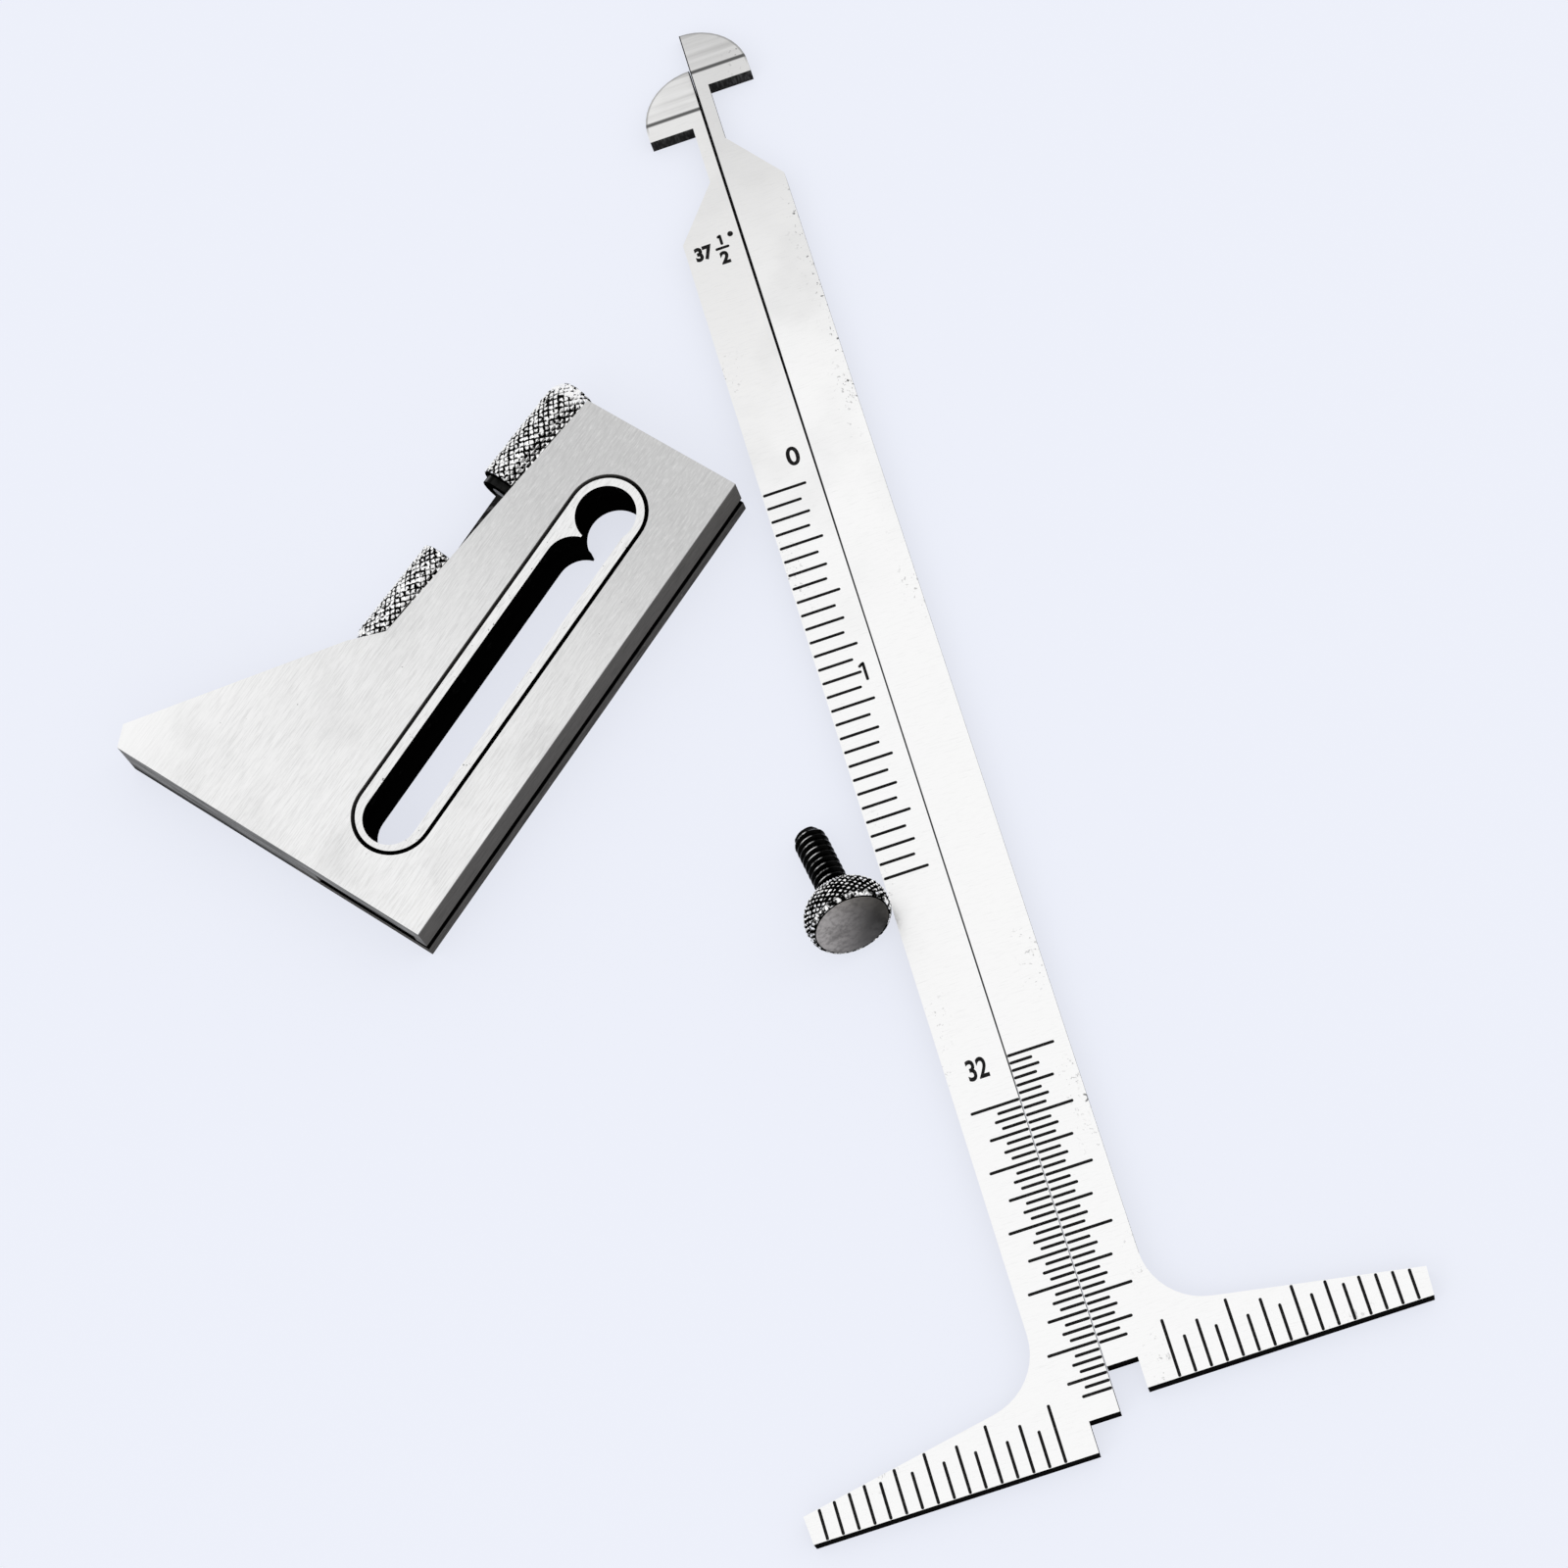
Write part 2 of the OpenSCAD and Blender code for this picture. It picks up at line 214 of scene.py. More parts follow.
class Finish:
    """One procedural material on a Principled shader, read in Object coordinates.

    sheen is the strength of the colourless reflection where the surface is not metallic.
    """

    def __init__(self, name, metallic=1.0, sheen=0.5):
        self.material = bpy.data.materials.new(name)
        self.material.use_nodes = True
        self.tree = self.material.node_tree
        self.shader = self.tree.nodes["Principled BSDF"]
        self.shader.inputs["Metallic"].default_value = metallic
        self.shader.inputs["Specular IOR Level"].default_value = sheen
        self.place = self.add("TexCoord").outputs["Object"]

    def add(self, kind, settings=None, inputs=None):
        """A node of a kind, with its settings first and then its inputs' values or links."""
        node = self.tree.nodes.new("ShaderNode" + kind)
        for key, value in (settings or {}).items():
            setattr(node, key, value)
        for key, value in (inputs or {}).items():
            self.join(value, node.inputs[key])
        return node

    def join(self, value, socket):
        """Links a level or a socket to a socket, or sets the socket to a plain value."""
        if isinstance(value, Level):
            value = value.socket
        if isinstance(value, bpy.types.NodeSocket):
            self.tree.links.new(value, socket)
        else:
            socket.default_value = value

    def level(self, kind, settings, inputs, output=0):
        """One output of a new node, as a level."""
        return Level(self, self.add(kind, settings, inputs).outputs[output])

    def set(self, socket, value):
        """Gives a value or a link to one socket of the shader."""
        self.join(value, self.shader.inputs[socket])

    def placed(self, home):
        """Object coordinates in millimetres in a piece's own frame."""
        location, rotation, _ = home.inverted().decompose()
        inputs = {
            "Vector": self.place,
            "Location": tuple(v / MM for v in location),
            "Rotation": tuple(rotation.to_euler()),
            "Scale": (1 / MM, 1 / MM, 1 / MM),
        }
        return self.add("Mapping", {"vector_type": "POINT"}, inputs).outputs[0]

    def stretched(self, home, scale):
        """The same coordinates, stretched along the frame's axes."""
        inputs = {0: self.placed(home), 1: scale}
        return self.add("VectorMath", {"operation": "MULTIPLY"}, inputs).outputs[0]

    def axes(self, place):
        """The three parts of a place or a direction, as levels."""
        parts = self.add("SeparateXYZ", None, {"Vector": place})
        return tuple(Level(self, parts.outputs[i]) for i in range(3))

    def noise(self, place, scale, detail, rough):
        """Cloudy pattern around 0.5; scale is in waves a millimetre of the place."""
        inputs = {"Vector": place, "Scale": scale, "Detail": detail, "Roughness": rough}
        return self.level("TexNoise", None, inputs)

    def specks(self, place, scale, rarity):
        """1 in small scattered spots, 0 elsewhere."""
        return self.noise(place, scale, 2.0, 0.6).between(rarity, rarity + 0.03)

    def blend(self, amount, first, second):
        """Colour that goes from first to second."""
        settings = {"data_type": "RGBA", "clamp_factor": True}
        node = self.add("Mix", settings, {0: amount})
        for value, socket in ((first, node.inputs[6]), (second, node.inputs[7])):
            self.join(value if isinstance(value, bpy.types.NodeSocket) else (*value, 1), socket)
        return node.outputs[2]

    def relief(self, height, distance, strength):
        """Fine unevenness by a bump; distance is in millimetres."""
        inputs = {"Height": height, "Distance": distance * MM, "Strength": strength}
        self.set("Normal", self.add("Bump", None, inputs).outputs[0])

    def facing(self):
        """Direction that the surface faces."""
        return self.add("TexCoord").outputs["Normal"]

    def upward(self):
        """1 on faces that look up or down, 0 on walls."""
        return abs(self.axes(self.facing())[2]).between(0.55, 0.85)

    def from_axis(self, home):
        """Distance in millimetres from the Z axis of a frame."""
        x, y, _ = self.axes(self.placed(home))
        return (x * x + y * y).root()


def grey(value, warm=0.0):
    """A grey by its lightness from 0 to 255 on the sRGB curve, warmed by a share."""
    tone = value / 255
    tone = tone / 12.92 if tone <= 0.04045 else ((tone + 0.055) / 1.055) ** 2.4
    return (tone * (1 + warm), tone, tone * (1 - warm))


def blade_steel(side):
    """Fine ground steel, brighter at the feet, with dark joint line and edge nicks, painted shade
    and painted reflection.
    """
    steel = Finish("ground_blade_steel_" + side, sheen=0.0)
    home = BLADE_FRAMES[side]
    plain = steel.placed(home)
    x, y, _ = steel.axes(plain)
    grind = steel.noise(steel.stretched(home, (0.5, 9.0, 0.5)), 1.6, 4.0, 0.6)
    cloud = steel.noise(plain, 0.09, 3.0, 0.55)
    hook_tone = 238 if side == "left" else 222
    greyer = y.between(60, 105) if side == "left" else y.between(70, 122)
    tone = steel.blend(greyer, grey(255), grey(hook_tone, 0.004))
    tone = steel.blend(cloud.between(0.45, 0.75) * y.between(30, 100) * 0.4, tone, grey(212))
    tone = steel.blend(grind.between(0.5, 0.8) * 0.16, tone, grey(170))
    # painted reflection: soft light and dark bands across the hook's bevel
    bevel = y.between(HOOK_BEVEL_Y, HOOK_BEVEL_Y + 0.2)
    bevel_reflection_bands = steel.noise(steel.stretched(home, (0.03, 1.0, 0.03)), 0.8, 2.0, 0.5)
    tone = steel.blend(bevel * bevel_reflection_bands.between(0.4, 0.7) * 0.6, tone, grey(172, 0.01))
    # painted shade: a dark line along the edge of the hook's bevel, varied by the painted
    # reflection bands
    bevel_shade_line = 1 - abs(y - HOOK_BEVEL_Y).between(0.1, 0.34)
    joint_line = 1 - (abs(x) - y.between(50, 100) * 0.08).between(0.05, 0.11)
    arc = (x * x + (y - HOOK_ARC_Y) * (y - HOOK_ARC_Y)).root()
    on_arc = y.between(HOOK_ARC_Y - 0.5, HOOK_ARC_Y + 1)
    rounded_edge_shade = arc.between(BLADE_WIDTH - 0.22, BLADE_WIDTH - 0.1) * on_arc
    tone = steel.blend(bevel_shade_line * (bevel_reflection_bands * 0.4 + 0.75), tone, grey(58))
    tone = steel.blend(joint_line * (y.between(-6, 8) * 0.6 + 0.4), tone, grey(16))
    # painted shade: the rounded edge round the end of the hook is darkened
    tone = steel.blend(rounded_edge_shade * 0.5, tone, grey(110))
    # small nicks and stains gather near the outer edge
    edge = abs(x).between(3.2, 5.9) * (1 - abs(x).between(6.4, 7.0))
    region = steel.noise(plain, 0.11, 1.0, 0.5).between(0.52, 0.64) * 0.5
    rim = abs(x).between(5.2, 6.1)
    if side == "right":
        region = region + y.between(70, 78) * (1 - y.between(96, 102)) * (rim * 0.8 + 0.2)
    blotches = steel.noise(steel.stretched(home, (1.0, 0.45, 1.0)), 1.3, 4.0, 0.7).between(0.6, 0.7)
    nicks = (steel.specks(plain, 2.2, 0.64) * edge + blotches * rim) * region
    tone = steel.blend(nicks * 0.85, tone, grey(84))
    # a small round dent at the right half-blade's outer edge
    if side == "right":
        out, along = x - 6.0, y + 6.5
        dent = 1 - abs((out * out + along * along).root() - 0.35).between(0.04, 0.14)
        tone = steel.blend(dent * out.between(-0.1, 0.1) * 0.8, tone, grey(70))
    # painted shade: the side walls are dark and not metallic, darkest along the feet
    walls = steel.noise(steel.stretched(home, (2, 2, 0.4)), 2.0, 3.0, 0.6)
    painted_wall_shading = steel.blend(walls.between(0.4, 0.75), grey(36), grey(72))
    painted_wall_shading = steel.blend(1 - y.between(0, 60), painted_wall_shading, grey(14))
    flat = steel.upward()
    steel.set("Base Color", steel.blend(flat, painted_wall_shading, tone))
    steel.set("Metallic", flat)
    steel.set("Roughness", (grind - 0.5) * 0.25 + 0.38 + (1 - flat) * 0.2)
    steel.relief(grind + nicks * -1.5, 0.004, 0.5)
    return steel.material


def block_steel():
    """Brushed steel plate, greyer at the narrow end, with painted shade on its walls and pocket."""
    steel = Finish("brushed_block_steel", sheen=0.0)
    plain = steel.placed(BLOCK_FRAME)
    u, v, z = steel.axes(plain)
    brushed = steel.noise(steel.stretched(BLOCK_FRAME, (6.5, 0.3, 1.0)), 1.3, 5.0, 0.7)
    cloud = steel.noise(plain, 0.1, 3.0, 0.5)
    tone = steel.blend(v.between(-36, -4) * 0.95, grey(249), grey(202))
    tone = steel.blend((u + 12).between(-26, -8) * v.between(-56, -30) * 0.25, tone, grey(214))
    tone = steel.blend(cloud.between(0.48, 0.72) * 0.35, tone, grey(206))
    tip = (-1 * u).between(28, 42)
    tone = steel.blend(tip, tone, grey(255))
    streaks = steel.noise(steel.stretched(BLOCK_FRAME, (4.2, 0.9, 1.0)), 1.1, 5.0, 0.75)
    tone = steel.blend(brushed.between(0.4, 0.7) * (1 - tip * 0.8) * 0.3, tone, grey(160))
    tone = steel.blend(streaks.between(0.45, 0.7) * 0.3, tone, grey(255))
    specks = steel.specks(plain, 1.7, 0.76)
    tone = steel.blend(specks * 0.7, tone, grey(110))
    lit_arris_distance = abs(z - BLOCK_TOP + 0.1).between(0.0, 0.12)
    drawn = steel.noise(steel.stretched(BLOCK_FRAME, (0.3, 0.3, 4.0)), 1.4, 4.0, 0.65)
    # painted light and shade: walls facing the wide end are lighter with drawn lines and darker
    # towards the bottom, the other walls dark grey
    end_direction = tuple(BLOCK_FRAME.to_3x3() @ Vector((0, -1, 0)))
    inputs = {0: steel.facing(), 1: end_direction}
    end_facing = steel.level("VectorMath", {"operation": "DOT_PRODUCT"}, inputs, "Value")
    at_end = 1 - v.between(-BLOCK_LENGTH + 1, -BLOCK_LENGTH + 4)
    lit_wide_end = end_facing.between(0.4, 0.9) * at_end
    lines = steel.noise(steel.stretched(BLOCK_FRAME, (0.12, 1.0, 2.6)), 1.0, 4.0, 0.6)
    painted_end_shading = steel.blend(lines.between(0.4, 0.62), grey(146), grey(96))
    painted_end_shading = steel.blend(1 - z.between(0.9, 2.2), painted_end_shading, grey(62))
    painted_wall_shading = steel.blend(lit_wide_end, grey(92, 0.04), painted_end_shading)
    painted_wall_shading = steel.blend(drawn.between(0.4, 0.75) * 0.45, painted_wall_shading, grey(48))
    # painted highlight: a light line along the walls just below the top arris
    painted_wall_shading = steel.blend((1 - lit_arris_distance) * 0.5, painted_wall_shading, grey(200))
    half_length = BLOCK_LENGTH / 2
    # painted shade: the walls down in the channel are black
    across = abs(u + CHANNEL_MIDDLE).between(CHANNEL_HALF - 0.02, CHANNEL_HALF + 0.03)
    channel_shade = (1 - across) * (1 - z.between(CHANNEL_TOP - 0.1, CHANNEL_TOP + 0.04))
    channel_shade = channel_shade * (1 - abs(v + half_length).between(half_length - 0.06, half_length - 0.02))
    painted_wall_shading = steel.blend(channel_shade, painted_wall_shading, grey(8))
    # painted shade: black in the hollow beyond the edge, between the rollers
    beyond_edge = (-1 * u + v * math.tan(EDGE_TAPER) - BLOCK_WIDTH).between(0.1, 0.4)
    hollow_shade = beyond_edge * v.between(HOLLOW_LOW, HOLLOW_LOW + 0.4)
    painted_wall_shading = steel.blend(hollow_shade, painted_wall_shading, grey(4))
    upward = steel.upward()
    inside = (BLOCK_TOP - 0.3 - z).between(0, 0.2) * upward * z.between(0.1, 0.3)
    flat = upward * (1 - inside)
    # painted shade: the floors of the pocket below the top are dark
    pocket_shade = steel.blend(drawn.between(0.4, 0.8), grey(14), grey(40))
    tone = steel.blend(flat, steel.blend(upward, painted_wall_shading, pocket_shade), tone)
    steel.set("Base Color", tone)
    steel.set("Metallic", flat)
    steel.set("Roughness", (brushed - 0.5) * 0.3 + 0.37 + (1 - flat) * 0.12)
    steel.relief(brushed + specks * -1.0, 0.006, 0.5)
    return steel.material


def cover_steel():
    """Dark ground steel of the back cover, with painted shade on its walls and in its keyhole."""
    steel = Finish("dark_cover_steel", sheen=0.0)
    plain = steel.placed(BLOCK_FRAME)
    brushed = steel.noise(steel.stretched(BLOCK_FRAME, (3.0, 0.2, 3.0)), 1.7, 5.0, 0.6)
    cloud = steel.noise(plain, 0.16, 3.0, 0.5)
    face = steel.blend(brushed.between(0.38, 0.72), grey(176), grey(128))
    face = steel.blend(cloud.between(0.45, 0.7) * 0.5, face, grey(112))
    u, v, z = steel.axes(plain)
    # painted shade: the walls are dark, and the keyhole's walls and the face towards the channel,
    # only seen down the window, are black
    upward = steel.upward()
    outside = upward * (1 - z.between(0.9, 1.3))
    cover_wall_shade = steel.blend(brushed.between(0.4, 0.75), grey(88, 0.04), grey(48))
    keyhole_shade = 1 - abs(u + WINDOW_LINE).between(WINDOW_HALF - 0.2, WINDOW_HALF + 0.2)
    along = abs(v + BLOCK_LENGTH / 2).between(WINDOW_REACH - 0.3, WINDOW_REACH + 0.3)
    keyhole_shade = keyhole_shade * (1 - along)
    cover_wall_shade = steel.blend(steel.specks(plain, 2.2, 0.68) * 0.8, cover_wall_shade, grey(120))
    cover_wall_shade = steel.blend(keyhole_shade.larger(z.between(1.4, 1.5) * upward), cover_wall_shade, grey(5))
    steel.set("Base Color", steel.blend(outside, cover_wall_shade, face))
    steel.set("Metallic", outside)
    steel.set("Roughness", (brushed - 0.5) * 0.3 + 0.44)
    steel.relief(brushed, 0.005, 0.5)
    return steel.material


def frame_steel():
    """Bright rim of the window frame, its bore walls black with painted shade."""
    steel = Finish("bright_frame_steel", sheen=0.0)
    plain = steel.placed(BLOCK_FRAME)
    brushed = steel.noise(steel.stretched(BLOCK_FRAME, (3.4, 0.3, 1.0)), 2.2, 4.0, 0.6)
    rim = steel.blend(brushed.between(0.4, 0.75) * 0.5, grey(248), grey(186))
    rim = steel.blend(steel.specks(plain, 2.6, 0.7) * 0.8, rim, grey(90))
    # painted shade: the bore walls are black
    bore = steel.blend(steel.noise(plain, 1.3, 4.0, 0.6).between(0.55, 0.85), grey(3), grey(30))
    flat = steel.upward()
    steel.set("Metallic", flat)
    steel.set("Base Color", steel.blend(flat, bore, rim))
    steel.set("Roughness", (1 - flat) * 0.5 + brushed * 0.2 + 0.2)
    steel.relief(brushed, 0.004, 0.5)
    return steel.material


def blackened_steel():
    """Oil-blackened steel of the small hardware."""
    steel = Finish("blackened_steel")
    place = steel.placed(Matrix.Identity(4))
    wear = steel.noise(place, 1.6, 4.0, 0.6)
    steel.set("Base Color", steel.blend(wear.between(0.52, 0.8), grey(28), grey(92)))
    steel.set("Roughness", wear * 0.35 + 0.2)
    steel.relief(wear, 0.004, 0.4)
    return steel.material


def scale_filling():
    """Black filling of the engraved lines and numbers, a little uneven."""
    paint = Finish("black_scale_filling", metallic=0.0, sheen=0.1)
    grain = paint.noise(paint.placed(Matrix.Identity(4)), 3.2, 3.0, 0.6)
    paint.set("Base Color", paint.blend(grain.between(0.5, 0.8), grey(14), grey(48)))
    paint.set("Roughness", grain * 0.3 + 0.4)
    paint.relief(grain, 0.003, 0.5)
    return paint.material


def thread_steel():
    """Blackened thread with a painted highlight on its crests where they face up."""
    steel = Finish("blackened_thread_steel")
    radius = steel.from_axis(SCREW_FRAME)
    place = steel.placed(SCREW_FRAME)
    wear = steel.noise(place, 1.1, 4.0, 0.65)
    highlit_crest = radius.between(THREAD_RADIUS - 0.16, THREAD_RADIUS - 0.02)
    across, _, up = steel.axes(steel.facing())
    lit_side = (up - across * 0.25).between(0.86, 0.99)
    tone = steel.blend(wear.between(0.5, 0.8) * 0.4, grey(8), grey(36))
    # painted highlight along the crests on the side that faces up
    tone = steel.blend(highlit_crest * lit_side * wear.between(0.36, 0.56), tone, grey(215))
    steel.set("Base Color", tone)
    steel.set("Roughness", wear * 0.2 + 0.16)
    steel.relief(wear, 0.004, 0.4)
    return steel.material


def knurl_steel(name, home, low, high, unevenness):
    """Knurled steel: black painted shade in the grooves up to low, white painted highlight on the
    points from high, by the stored height.
    """
    steel = Finish(name, sheen=0.0)
    place = steel.placed(home)
    points = steel.add("Attribute", {"attribute_name": POINT_HEIGHT}).outputs["Fac"]
    wear = steel.noise(place, 1.9, 2.0, 0.7)
    height = (Level(steel, points) + (wear - 0.5) * unevenness).between(low, high)
    # painted shade in the grooves and painted highlight on the points
    tone = steel.blend(height, grey(5), grey(255))
    steel.set("Base Color", tone)
    steel.set("Metallic", height)
    steel.set("Roughness", wear * 0.2 + 0.2)
    steel.relief(wear, 0.006, 0.5)
    return steel.material


def head_steel():
    """Turned face of the thumb screw's head, clouded grey, with a painted reflection from light to
    dark across it.
    """
    steel = Finish("turned_head_steel")
    place = steel.placed(SCREW_FRAME)
    x, y, _ = steel.axes(place)
    turning = steel.noise(place, 1.0, 1.0, 0.5) * 0.2 + steel.from_axis(SCREW_FRAME) * 9.0
    rings = turning.sine() * 0.5 + 0.5
    cloud = steel.noise(place, 0.55, 4.0, 0.6)
    # painted reflection: light at one side of the face, dark at the other
    tone = steel.blend((x - y * 0.4).between(-4.0, 3.2), grey(172, 0.07), grey(58, 0.06))
    tone = steel.blend(cloud.between(0.42, 0.68) * 0.5, tone, grey(100, 0.06))
    mottle = steel.noise(place, 2.2, 3.0, 0.6).between(0.4, 0.7)
    tone = steel.blend(mottle * 0.35, tone, grey(70, 0.05))
    tone = steel.blend(rings * 0.07, tone, grey(60))
    steel.set("Base Color", tone)
    steel.set("Roughness", cloud * 0.25 + 0.26)
    steel.relief(rings * 0.4 + cloud, 0.006, 0.4)
    return steel.material


def nylon():
    """Off-white nylon of the friction plugs."""
    plastic = Finish("nylon", metallic=0.0)
    place = plastic.placed(Matrix.Identity(4))
    grain = plastic.noise(place, 1.8, 4.0, 0.6)
    plastic.set("Base Color", plastic.blend(grain, grey(236, 0.03), grey(214, 0.05)))
    plastic.set("Roughness", grain * 0.3 + 0.3)
    plastic.relief(grain, 0.01, 0.4)
    return plastic.material


def bench(colour):
    """Pale plain surface that keeps a soft shadow, and stays dark under the half-blades' joint."""
    paint = Finish("pale_surface", metallic=0.0)
    grain = paint.noise(paint.placed(Matrix.Identity(4)), 0.02, 2.0, 0.5)
    paint.set("Base Color", paint.blend(grain * 0.04, colour, grey(236)))
    paint.set("Roughness", grain * 0.05 + 0.88)
    lit = paint.add("Emission", None, {"Color": (*colour, 1), "Strength": 1.0})
    seen = paint.add("LightPath").outputs
    ray = Level(paint, seen["Is Camera Ray"]).larger(Level(paint, seen["Is Glossy Ray"]))
    x, y, _ = paint.axes(paint.placed(Matrix.Identity(4)))
    joint_span = (y - LAY[1]).between(-1, 4) * (1 - y.between(74, 76))
    under_joint = (1 - abs(x - LAY[0]).between(0.2, 0.3)) * joint_span
    amount = ray * 0.8 * (1 - under_joint)
    inputs = {0: amount, 1: paint.shader.outputs[0], 2: lit.outputs[0]}
    mixed = paint.add("MixShader", None, inputs)
    output = paint.tree.nodes["Material Output"]
    paint.join(mixed.outputs[0], output.inputs["Surface"])
    return paint.material


# ---------------------------------------------------------------- pieces


def clear_selection():
    """Nothing is selected, so that the next operator works on its own object alone."""
    bpy.ops.object.select_all(action="DESELECT")


def choose(obj, part, keep):
    """Leaves obj in edit mode with the vertices, edges or faces selected for which keep is true."""
    bpy.context.view_layer.objects.active = obj
    if obj.mode != "EDIT":
        bpy.ops.object.mode_set(mode="EDIT")
    bpy.ops.mesh.select_mode(type=part)
    bpy.ops.mesh.select_all(action="DESELECT")
    bpy.ops.object.mode_set(mode="OBJECT")
    mesh = obj.data
    for item in {"VERT": mesh.vertices, "EDGE": mesh.edges, "FACE": mesh.polygons}[part]:
        item.select = keep(item)
    bpy.ops.object.mode_set(mode="EDIT")


def settle(obj, name, matrix, material, angle=30):
    """Names a finished piece, puts its place in its mesh and gives it its finish."""
    if obj.mode == "EDIT":
        bpy.ops.object.mode_set(mode="OBJECT")
    clear_selection()
    obj.select_set(True)
    bpy.context.view_layer.objects.active = obj
    obj.matrix_world = matrix
    bpy.ops.object.transform_apply(location=True, rotation=True, scale=True)
    obj.name = name
    obj.data.name = name
    obj.data.materials.clear()
    obj.data.materials.append(material)
    bpy.ops.object.shade_smooth_by_angle(angle=math.radians(angle))
    return obj


def end_edges(obj, height):
    """Test for the edges of a loop at one height, in millimetres."""
    points = obj.data.vertices
    return lambda edge: all(abs(points[i].co.z / MM - height) < 1e-3 for i in edge.vertices)


def carry(height_step, scale):
    """Extrudes the selected loop by a step along Z and scales it about the axis."""
    step = {"value": (0, 0, height_step * MM)}
    bpy.ops.mesh.extrude_region_move(TRANSFORM_OT_translate=step)
    bpy.ops.transform.resize(value=(scale, scale, 1), center_override=(0, 0, 0))


def lathe_loop(obj, start, stations):
    """Carries the loop at station start through the others, each (height, radius), in edit mode.

    A station that repeats the one before it is passed over.
    """
    choose(obj, "EDGE", end_edges(obj, start[0]))
    height, radius = start
    for next_height, next_radius in stations:
        if (next_height, next_radius) != (height, radius):
            carry(next_height - height, next_radius / radius)
        height, radius = next_height, next_radius


def knurled_barrel(columns, stations, depth):
    """A barrel of knurl points between grooves. Stations are (height, radius) of its rings."""
    low, high = stations[0][0], stations[-1][0]
    clear_selection()
    bpy.ops.mesh.primitive_cylinder_add(
        vertices=columns,
        radius=MM,
        depth=(high - low) * MM,
        end_fill_type="NOTHING",
        location=(0, 0, (high + low) / 2 * MM),
    )
    barrel = bpy.context.object
    bpy.ops.object.transform_apply(location=True, rotation=True, scale=True)
    upright = {edge.index for edge in barrel.data.edges if is_upright(barrel, edge)}
    choose(barrel, "EDGE", lambda edge: edge.index in upright)
    bpy.ops.mesh.subdivide(number_cuts=len(stations) - 2)
    bpy.ops.object.mode_set(mode="OBJECT")
    step = (high - low) / (len(stations) - 1)
    ring_of = [round((vertex.co.z / MM - low) / step) for vertex in barrel.data.vertices]
    for ring, (height, radius) in enumerate(stations):
        choose(barrel, "VERT", lambda vertex: ring_of[vertex.index] == ring)
        size = radius - depth
        bpy.ops.transform.resize(value=(size, size, 1), center_override=(0, 0, 0))
        bpy.ops.transform.translate(value=(0, 0, (height - low - step * ring) * MM))
    choose(barrel, "FACE", lambda face: True)
    bpy.ops.mesh.poke(offset=0)
    choose(barrel, "EDGE", lambda edge: is_ring_or_upright(barrel, edge))
    bpy.ops.mesh.dissolve_edges(use_verts=False, use_face_split=False)
    choose(barrel, "FACE", lambda face: True)
    grooves = len(barrel.data.vertices)
    bpy.ops.mesh.poke(offset=depth * MM, use_relative_offset=False, center_mode="MEDIAN")
    bpy.ops.object.mode_set(mode="OBJECT")
    heights = [float(i >= grooves) for i in range(len(barrel.data.vertices))]
    stored = barrel.data.attributes.new(POINT_HEIGHT, "FLOAT", "POINT")
    stored.data.foreach_set("value", heights)
    return barrel


def is_upright(obj, edge):
    """True for the edges that are parallel to the Z axis."""
    a, b = (obj.data.vertices[i].co for i in edge.vertices)
    return abs(a.z - b.z) > 1e-7 and math.hypot(a.x - b.x, a.y - b.y) < 1e-4 * MM


def is_ring_or_upright(obj, edge):
    """True for the edges of the first grid, which are level or lie in a plane through the axis."""
    a, b = (obj.data.vertices[i].co for i in edge.vertices)
    level = abs(a.z - b.z) < 1e-3 * MM
    turn = abs(math.remainder(math.atan2(a.y, a.x) - math.atan2(b.y, b.x), 2 * math.pi))
    return level or turn < 1e-3


def roller_stations():
    """Even rings along the roller, then some round its domed end."""
    straight = ROLLER_LENGTH - ROLLER_DOME
    stations = [
        (straight * ring / ROLLER_RINGS, ROLLER_RADIUS) for ring in range(ROLLER_RINGS + 1)
    ]
    for step in DOME_RINGS:
        rise = ROLLER_DOME * math.sin(step * math.pi / 2)
        drop = ROLLER_DOME * (1 - math.cos(step * math.pi / 2))
        stations.append((straight + rise, ROLLER_RADIUS - drop))
    return stations


def bored_end(height, inward, recessed):
    """Stations from an end face, through the recess if it has one, to the middle of the bore."""
    mouth = HEAD_RECESS if recessed else ROLLER_BORE
    floor = height + inward * RECESS_DEPTH
    return [(height, mouth), (floor, mouth), (floor, ROLLER_BORE), (BORE_MIDDLE, ROLLER_BORE)]


def roller(name, home, body, recess_end):
    """A knurled roller with a domed end, bored for its axle and recessed for the axle's head."""
    stations = roller_stations()
    barrel = knurled_barrel(ROLLER_POINTS, stations, ROLLER_KNURL)
    flat_radius = ROLLER_RADIUS - ROLLER_KNURL
    lathe_loop(barrel, (0, flat_radius), bored_end(0, 1, recess_end == "flat"))
    top_height, top_radius = stations[-1][0], stations[-1][1] - ROLLER_KNURL
    domed_end = bored_end(ROLLER_LENGTH, -1, recess_end == "domed")
    crown_height = top_height + (ROLLER_LENGTH - top_height) * 0.7
    crown_radius = (top_radius + domed_end[0][1]) / 2 + 0.1
    lathe_loop(barrel, (top_height, top_radius), [(crown_height, crown_radius)] + domed_end)
    choose(barrel, "VERT", lambda vertex: True)
    bpy.ops.mesh.remove_doubles(threshold=2e-3 * MM)
    bpy.ops.mesh.normals_make_consistent(inside=False)
    mark_ends(barrel, flat_radius)
    finish = knurl_steel("knurled_steel_" + name, home, 0.24, 0.46, 2.4)
    settle(barrel, name + "_knurled", home, finish, 20)
    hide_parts(name)
    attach(barrel, body)


